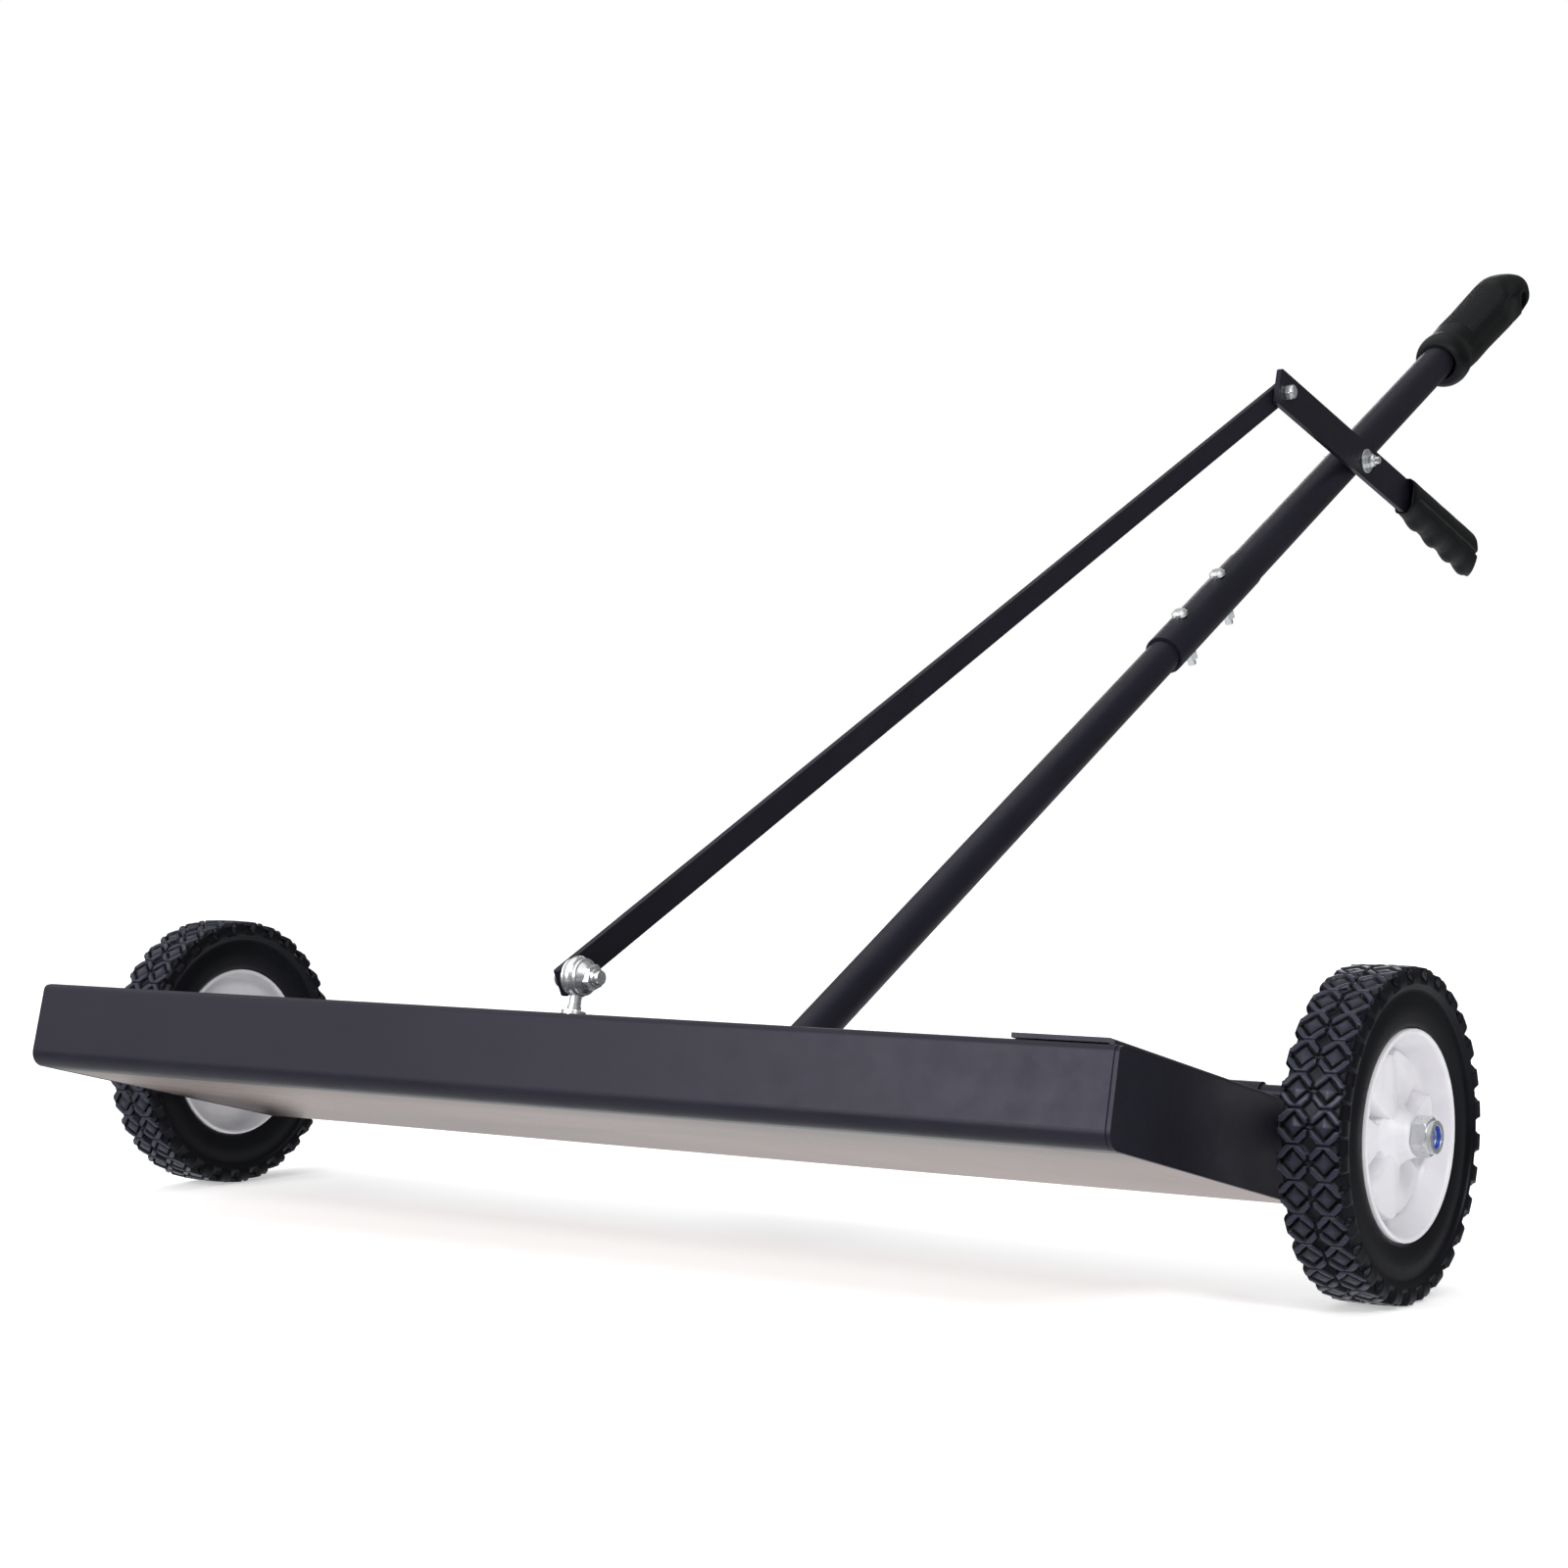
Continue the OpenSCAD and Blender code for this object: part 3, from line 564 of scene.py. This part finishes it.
def petal_front(theta, r):
    """The petals' face, as x over angle and radius."""
    step = 2 * math.pi / PETALS
    turn = theta + PETAL_TURN
    sector = np.floor(turn / step)
    local = turn - (sector + 0.5) * step
    side = r * np.cos(local) * math.tan(step / 2) - np.abs(r * np.sin(local))
    side = side * math.cos(step / 2)
    # Distance inside the petal's outline, which has rounded outer corners
    end = PETAL_END - r
    flank = side - SPOKE_HALF
    corner = np.hypot(
        np.maximum(PETAL_CORNER - flank, 0), np.maximum(PETAL_CORNER - end, 0)
    )
    inside = np.minimum(np.minimum(flank, end), PETAL_CORNER - corner)
    high, low = (x - fall * (r - TOP_FROM) for x, fall in (HIGH_TOP, LOW_TOP))
    top = np.where(sector % 2 == 0, high, low)
    crown = PETAL_CROWN * np.clip(inside / PETAL_CORNER, 0, 1) ** 0.6
    floor = follow(r, WEB_FLOOR)
    return floor + (top + crown - floor) * smooth_step(inside, *PETAL_EDGE)


def hub_columns():
    """Outer face with petals, rim, smooth inner face and the bore."""
    theta = (np.arange(HUB_STEPS) * 2 * math.pi / HUB_STEPS)[:, None]
    r, back_r = FRONT_RADII[None, :], BACK_RADII[None, :]
    ones = np.ones((HUB_STEPS, 1))
    boss = follow(r, BOSS)
    petals = petal_front(theta, r)
    web = np.where(r < WEB_END, petals, np.maximum(petals, follow(r, RIM_WALL)))
    front = np.where(r < BOSS_FILLET_R, np.maximum(boss, web), web)
    front = np.where(r < BOSS_R, boss, front)
    back = np.where(
        back_r < BACK_BOSS_R, follow(back_r, BACK_BOSS), follow(back_r, BACK)
    )
    x = np.concatenate([front, ones * RIM_SEAT[None, :, 0], ones * back], axis=1)
    radius = np.concatenate(
        [ones * r, ones * RIM_SEAT[None, :, 1], ones * back_r], axis=1
    )
    return np.stack([x, radius], axis=2)


def build_wheels():
    tyre_points, tyre_faces = torus_grid(tyre_columns())
    hub_points, hub_faces = torus_grid(hub_columns())
    for side, turn in (("right", 0.0), ("left", math.pi)):
        offset = WHEEL_X * MM * (1 if side == "right" else -1)
        matrix = (
            Matrix.Translation(AXLE + Vector((offset, 0, 0)))
            @ Matrix.Rotation(turn, 4, "Z")
            @ Matrix.Rotation(-LEAN, 4, "X")
            @ Matrix.Scale(MM, 4)
        )
        make_object(
            f"{side}_tyre_moulded", tyre_points, tyre_faces, matrix,
            "tyre_rubber", f"{side}_wheel", [f"{side}_tyre"],
        )
        make_object(
            f"{side}_hub_moulded", hub_points, hub_faces, matrix,
            "white_plastic", f"{side}_wheel", [f"{side}_hub"],
        )


# ---- main grip ----

GRIP_AROUND = 120
GRIP_DROP = 3.2  # of the grip's outside below the tube's middle
# The bore and its mouth, in points (z, radius), from deep inside to the lip
GRIP_BORE = (
    (152.0, 14.34), (60.0, 14.34), (8.0, 14.34), (4.5, 14.6), (1.5, 16.0), (0.2, 16.8)
)
GRIP_STATIONS = np.concatenate(
    [[0.0, 0.7, 1.6, 2.8, 4.2, 6, 8, 10.5, 13, 16, 19, 22, 25, 28, 31, 34],
     np.arange(36.0, 137.0, 0.77), np.arange(138.0, 196.0, 2.0),
     [197.0, 198.2, 199.0, 199.6]]
)
# The outside: its radius, and the top and bottom of the flattened end, by z
GRIP_RADIUS = (
    (0, 17.6), (0.8, 18.9), (2.5, 20.8), (5, 22.3), (9, 23.6), (14, 24.0), (19, 23.6),
    (25, 22.0), (31, 22.4), (50, 23.3), (80, 23.0), (107, 23.5), (137, 24.4),
    (155, 24.8), (205, 24.9),
)
END_TOP = (
    (142, -21.4), (150, -20.8), (158, -19.3), (167, -16.9), (176, -13.6), (185, -9.4),
    (193, -2.9), (198, 4.1), (200, 8.5),
)
END_BOTTOM = (
    (140, 27.7), (155, 28.2), (168, 27.3), (178, 25.5), (187, 22.9), (194, 19.9),
    (198.5, 15.9), (200, 10.0),
)
END_HALF = 17.3
END_NARROWS = (108.0, 160.0)
END_SQUARES = (112.0, 160.0)
END_ROUNDS_FROM, END_ROUNDS_OVER = 172, 28.2
# The channel along each side, and the ribs over the upper face
CHANNEL_UP, CHANNEL_HALF = math.radians(15), 0.17
CHANNEL_DEPTH = 2.8
CHANNEL_RISE, CHANNEL_FALL = (26, 32), (150, 172)
RAISED = 0.5
OVER_UP = (CHANNEL_UP + 0.22, CHANNEL_UP + 0.32)
RIB_PITCH, RIB_START, RIB_DEPTH = 4.62, 36.0, 1.9
RIBBED_RISE, RIBBED_FALL = (40, 44), (131, 135)
# The hanging hole, in a shallow dish
HOLE_PLACE = (12.5, 174.0)  # y and z
HOLE_R = 7.5
DISH_DEPTH, DISH_EDGE = 1.6, (8.5, 12.5)


def super_ring(count, half_x, low, high, power, mid_x=0.0):
    """Ring of (x, y) points, rounded-square by power, between y low and high."""
    t = (np.arange(count) + 0.5) * 2 * math.pi / count
    c, s = np.cos(t), np.sin(t)
    e = 2.0 / power
    x = mid_x + half_x * np.sign(c) * np.abs(c) ** e
    y = (low + high) / 2 + (high - low) / 2 * np.sign(s) * np.abs(s) ** e
    return x, y


def grip_ring(z):
    """One ring of the main grip's outside."""
    radius = follow(z, GRIP_RADIUS)
    top, bottom = GRIP_DROP - radius, GRIP_DROP + radius
    if z >= END_TOP[0][0]:
        top = max(top, follow(z, END_TOP))
    bottom = min(bottom, follow(z, END_BOTTOM))
    half = radius + (END_HALF - radius) * smooth_step(z, *END_NARROWS)
    rounding = max((z - END_ROUNDS_FROM) / END_ROUNDS_OVER, 0) ** 3
    half *= math.sqrt(max(1 - rounding, 0.02))
    power = 2.0 + 0.7 * float(smooth_step(z, *END_SQUARES))
    x, y = super_ring(GRIP_AROUND, half, top, bottom, power)
    mid = (top + bottom) / 2
    up = np.arctan2(mid - y, np.abs(x))
    out = np.stack([x, y - mid], axis=1)
    out /= np.maximum(np.linalg.norm(out, axis=1), 1e-6)[:, None]
    fade = float(plateau(z, CHANNEL_RISE, CHANNEL_FALL))
    channel = np.exp(-(((up - CHANNEL_UP) / CHANNEL_HALF) ** 4)) * CHANNEL_DEPTH * fade
    over = smooth_step(up, *OVER_UP)
    ribbed = float(plateau(z, RIBBED_RISE, RIBBED_FALL))
    wave = 0.5 + 0.5 * math.cos(2 * math.pi * (z - RIB_START) / RIB_PITCH)
    ribs = over * ribbed * RIB_DEPTH * wave ** 2
    raised = -RAISED * over * fade
    push = channel + ribs + raised + RAISED * fade
    from_hole = np.hypot(z - HOLE_PLACE[1], y - HOLE_PLACE[0])
    dish = DISH_DEPTH * (1 - smooth_step(from_hole, *DISH_EDGE))
    dish = dish * (np.abs(x) > half * 0.6)
    return np.stack(
        [x - out[:, 0] * push - np.sign(x) * dish, y - out[:, 1] * push,
         np.full_like(x, z)], axis=1
    )


def build_main_grip():
    """Rings up the bore and then over the outside, closed at the far end."""
    rings = []
    for z, radius in GRIP_BORE:
        x, y = super_ring(GRIP_AROUND, radius, -radius, radius, 2.0)
        rings.append(np.stack([x, y, np.full_like(x, z)], axis=1))
    rings += [grip_ring(z) for z in GRIP_STATIONS]
    points, faces = ring_skin(rings)
    matrix = HANDLE @ Matrix.Translation((0, 0, GRIP_START))
    grip = make_object(
        "main_grip_moulded", points, faces, matrix, "grip_rubber", "chassis",
        ["main_grip"],
    )
    cutter = hole_cutter(matrix @ Matrix.Translation((0, *HOLE_PLACE)), HOLE_R, 50.0)
    cut = grip.modifiers.new("hanging_hole", "BOOLEAN")
    cut.operation = "DIFFERENCE"
    cut.object = cutter
    cut.solver = "EXACT"
    apply_modifiers(grip)
    bpy.data.objects.remove(cutter)
    shade_by_angle(grip, 50)


def hole_cutter(matrix, radius, length):
    """A closed cylinder along X, linked so that a boolean can use it."""
    count = 48
    t = np.arange(count) * 2 * math.pi / count
    y, z = radius * np.cos(t), radius * np.sin(t)
    rings = [
        np.stack([np.full(count, x), y, z], axis=1) for x in (-length / 2, length / 2)
    ]
    points, faces = ring_skin(rings)
    mesh = bpy.data.meshes.new("hole_cutter")
    mesh.from_pydata([tuple(p) for p in points], [], faces)
    mesh.transform(matrix)
    mesh.update()
    return link_object("hole_cutter", mesh)


def apply_modifiers(piece):
    """Replaces a new piece's mesh with its modified one."""
    depsgraph = bpy.context.evaluated_depsgraph_get()
    mesh = bpy.data.meshes.new_from_object(piece.evaluated_get(depsgraph))
    piece.modifiers.clear()
    piece.data = mesh


def shade_by_angle(piece, degrees):
    """Smooth shading, with sharp edges where faces meet at more than this."""
    mesh = piece.data
    mesh.polygons.foreach_set("use_smooth", [True] * len(mesh.polygons))
    mesh.set_sharp_from_angle(angle=math.radians(degrees))


# ---- lever grip ----

LEVER_GRIP_AROUND = 132
LEVER_GRIP_POWER, MOUTH_POWER = 2.5, 4.5
LEVER_GRIP_END = 226.0
# The bore's mouth: (y, half width, lowest z, highest z)
LEVER_MOUTH = (
    (96.0, 4.6, -14.0, 14.4), (86.5, 5.6, -14.6, 15.0), (83.4, 6.6, -15.0, 15.4),
    (82.3, 7.4, -15.5, 15.9),
)
LEVER_STATIONS = np.concatenate(
    [[82.25, 82.8, 83.8, 85.2, 87.0], np.arange(88.5, 221.0, 1.3),
     [221.6, 222.8, 223.8, 224.6, 225.2, 225.6, 225.9]]
)
# Depth of the body under the lever by y, and the finger swells, (y, z, radius)
BODY_DEPTH = ((85.0, 15.6), (100.0, 17.0), (140.0, 19.0), (LEVER_GRIP_END, 21.0))
LOBES = (
    (110.0, -7.0, 14.0), (146.0, -9.5, 13.5), (181.0, -11.0, 13.0), (212.0, -11.0, 13.5)
)
LOBE_INSET = 1.1
LOBE_BLEND = 0.5  # smaller is softer
GRIP_HALF, GRIP_TOP = 9.95, 16.9
SEAM_DEPTH, SEAM_HALF = 2.3, 1.5


def lever_grip_ring(y):
    """One ring of the lever grip's outside."""
    depths = [math.exp(follow(y, BODY_DEPTH) * LOBE_BLEND)]
    for lobe_y, lobe_z, radius in LOBES:
        inside = radius**2 - (y - lobe_y) ** 2
        if inside > 0:
            depth = math.sqrt(inside) - lobe_z - LOBE_INSET
            depths.append(math.exp(depth * LOBE_BLEND))
    low = -math.log(sum(depths)) / LOBE_BLEND
    # Both ends are rounded off: start over the lip, end over the last 12 mm
    start = max((87.0 - y) / 5.0, 0.0)
    end = max((y - 214.0) / 12.0, 0.0)
    high = GRIP_TOP - 11.0 * (1 - math.sqrt(max(1 - end**2.2, 0.0)))
    high -= 1.2 * start**2
    low += 0.6 * start**2
    half = GRIP_HALF * math.sqrt(max(1 - (max(y - 219.0, 0.0) / 7.6) ** 2, 0.08))
    half -= 2.2 * start**2
    x, z = super_ring(LEVER_GRIP_AROUND, half, low, high, LEVER_GRIP_POWER, LEVER_MID_X)
    # The lower part narrows towards the finger swells
    below = np.clip((-6.0 - z) / 18.0, 0, 1)
    x = LEVER_MID_X + (x - LEVER_MID_X) * (1 - 0.22 * below)
    # A groove runs along both sides and over the end
    level = -0.4 - 1.4 * smooth_step(y, 100.0, LEVER_GRIP_END)
    fade = float(smooth_step(y, 93.0, 97.0))
    groove = SEAM_DEPTH * fade * np.exp(-(((z - level) / SEAM_HALF) ** 2))
    x = x - np.sign(x - LEVER_MID_X) * groove * (np.abs(x - LEVER_MID_X) > 0.5)
    back = np.exp(-(((z - level) / 1.6) ** 2)) * 2.2
    back *= smooth_step(y, 222.0, LEVER_GRIP_END)
    return np.stack([x, y - back, z], axis=1)


def build_lever_grip():
    """Rings from inside the grip's mouth, round its lip and out to its end."""
    rings = []
    for y, half, low, high in LEVER_MOUTH:
        x, z = super_ring(LEVER_GRIP_AROUND, half, low, high, MOUTH_POWER, LEVER_MID_X)
        rings.append(np.stack([x, np.full_like(x, y), z], axis=1))
    rings += [lever_grip_ring(y) for y in LEVER_STATIONS]
    points, faces = ring_skin(rings)
    points = np.array(points)
    points[-1, 1] = LEVER_GRIP_END
    # The rings run the other way round about this axis, so faces are turned over
    faces = [tuple(reversed(f)) for f in faces]
    make_object(
        "lever_grip_moulded", points, faces, LEVER, "grip_rubber", "lever_arm",
        ["lever_grip"],
    )


# ---- CAD nodes that stay, with softened edges ----

# Width of the softened edge, in millimetres
SOFT_EDGES = {
    "housing_shell": 0.35, "left_end_plate": 0.7, "right_end_plate": 0.7,
    "collector_plate": 0.25, "left_end_strap": 0.5, "right_end_strap": 0.5,
    "handle_bracket": 0.6, "release_lever": 0.6, "connecting_rod": 0.6,
    "lower_handle_tube": 0.25, "upper_handle_tube": 0.4, "cross_bar": 0.8,
    "magnet_backing_bar": 0.5, "magnet_blocks": 0.6, "lift_eye_bolt": 0.0,
    "axle_rod": 0.8, "guide_bush": 0.5,
}


DEFAULT_EDGE = 0.35
BEVEL_FROM = math.radians(35)


def dress_cad_nodes():
    """A material, welded seams and softened edges for every CAD node."""
    for name, piece in frame["nodes"].items():
        slot = slot_of(name)
        piece.data.materials.clear()
        piece.data.materials.append(BY_SLOT[slot])
        width = SOFT_EDGES.get(name, DEFAULT_EDGE)
        weld = piece.modifiers.new("weld", "WELD")
        weld.merge_threshold = 1e-6
        if width:
            bevel = piece.modifiers.new("soft_edges", "BEVEL")
            bevel.width = width * MM
            bevel.segments = 2
            bevel.limit_method = "ANGLE"
            bevel.angle_limit = BEVEL_FROM
            bevel.use_clamp_overlap = True
        # Rounded corners share the shading of the flat faces beside them
        normals = piece.modifiers.new("even_normals", "WEIGHTED_NORMAL")
        normals.keep_sharp = True
        normals.weight = 80


SLOT_WORDS = (
    ("nylon_ring", "blue_nylon"), ("tyre", "tyre_rubber"), ("hub", "white_plastic"),
    ("grip", "grip_rubber"), ("magnet_blocks", "ferrite"),
    ("collector_plate", "stainless_steel"), ("rivets", "zinc_plate"),
    ("screws", "zinc_plate"), ("bolt", "zinc_plate"), ("nut", "zinc_plate"),
    ("washers", "zinc_plate"), ("bush", "zinc_plate"), ("axle_rod", "zinc_plate"),
)


def slot_of(name):
    """The material slot of a CAD node, by the first word its name holds."""
    for word, slot in SLOT_WORDS:
        if word in name:
            return slot
    return "black_powder_coat"


dress_cad_nodes()
build_wheels()
build_main_grip()
build_lever_grip()

# ---- floor, light and camera ----


def build_stage():
    """A plain pale floor."""
    size = 30.0
    mesh = bpy.data.meshes.new("floor")
    corners = [(-size, -size, 0), (size, -size, 0), (size, size, 0), (-size, size, 0)]
    mesh.from_pydata(corners, [], [(0, 1, 2, 3)])
    s = Shader("pale_floor", Specular_IOR_Level=0.2)
    cloud = s.noise(0.7, 2.0)
    color = s.mix(
        s.span(cloud, 0.3, 0.7, 0.0, 1.0), (0.90, 0.90, 0.90), (0.93, 0.93, 0.93)
    )
    s.bsdf.inputs["Emission Color"].default_value = (1.0, 1.0, 1.0, 1.0)
    s.bsdf.inputs["Emission Strength"].default_value = 0.42
    s.finish(color, s.span(cloud, 0.3, 0.7, 0.75, 0.85))
    mesh.materials.append(s.material)
    floor = link_object("floor", mesh)
    floor.visible_glossy = False


def shine_along(lamp, direction):
    lamp.rotation_euler = direction.to_track_quat("-Z", "Y").to_euler()


def soft_light(name, place, target, size, power):
    data = bpy.data.lights.new(name, "AREA")
    data.shape = "RECTANGLE"
    data.size, data.size_y = size
    data.energy = power
    light = link_object(name, data)
    light.location = place
    shine_along(light, Vector(target) - Vector(place))


def build_world():
    """White to the camera; to everything else a dim room, graded by height."""
    world = bpy.data.worlds.new("studio")
    bpy.context.scene.world = world
    world.use_nodes = True
    tree = world.node_tree
    tree.nodes.clear()
    room = tree.nodes.new("ShaderNodeBackground")
    room.inputs["Color"].default_value = (0.96, 0.98, 1.0, 1.0)
    coords = tree.nodes.new("ShaderNodeTexCoord")
    parts = tree.nodes.new("ShaderNodeSeparateXYZ")
    tree.links.new(coords.outputs["Generated"], parts.inputs[0])
    # Gloss sees a floor that is bright below and falls off to a dim horizon
    below = map_range(tree, parts.outputs["Z"], -0.50, -0.06, 0.78, 0.0)
    above = map_range(tree, parts.outputs["Z"], -0.06, 0.35, 0.09, 0.24)
    total = tree.nodes.new("ShaderNodeMath")
    total.operation = "ADD"
    tree.links.new(below, total.inputs[0])
    tree.links.new(above, total.inputs[1])
    tree.links.new(total.outputs[0], room.inputs["Strength"])
    backdrop = tree.nodes.new("ShaderNodeBackground")
    backdrop.inputs["Color"].default_value = (1.0, 1.0, 1.0, 1.0)
    backdrop.inputs["Strength"].default_value = 1.0
    path = tree.nodes.new("ShaderNodeLightPath")
    choose = tree.nodes.new("ShaderNodeMixShader")
    output = tree.nodes.new("ShaderNodeOutputWorld")
    tree.links.new(path.outputs["Is Camera Ray"], choose.inputs[0])
    tree.links.new(room.outputs[0], choose.inputs[1])
    tree.links.new(backdrop.outputs[0], choose.inputs[2])
    tree.links.new(choose.outputs[0], output.inputs["Surface"])


def build_lights():
    sun = bpy.data.lights.new("soft_sun", "SUN")
    sun.energy = 2.0
    sun.angle = math.radians(110)
    shine_along(link_object("soft_sun", sun), Vector((0.45, 0.55, -1.0)))
    # Place and target in metres, size of the panel, power in watts
    soft_light("front", (-0.7, -3.1, 1.1), (0.30, 0, 0.1), (1.2, 1.3), 48)
    soft_light("side", (2.5, -2.1, 2.1), (0.4, -0.3, 0.1), (0.8, 0.8), 40)
    soft_light("rear", (-1.7, 3.2, 1.5), (0, 0.1, 0.1), (1.6, 1.4), 20)


def set_view():
    view = bpy.context.scene.view_settings
    view.view_transform = "Standard"
    view.look = "None"
    view.exposure = 0.0
    view.gamma = 1.0


def build_camera():
    """The photograph's view, fitted to the edges of the housing and wheels."""
    data = bpy.data.cameras.new("camera")
    data.sensor_width = 36.0
    data.lens = 72.17
    data.clip_end = 100.0
    data.dof.use_dof = False
    camera = link_object("camera", data)
    camera.location = (1.12943, -2.03698, 0.27499)
    camera.rotation_euler = [math.radians(a) for a in (89.9074, -0.0693, 35.4301)]
    bpy.context.scene.camera = camera


build_stage()
build_world()
build_lights()
set_view()
build_camera()
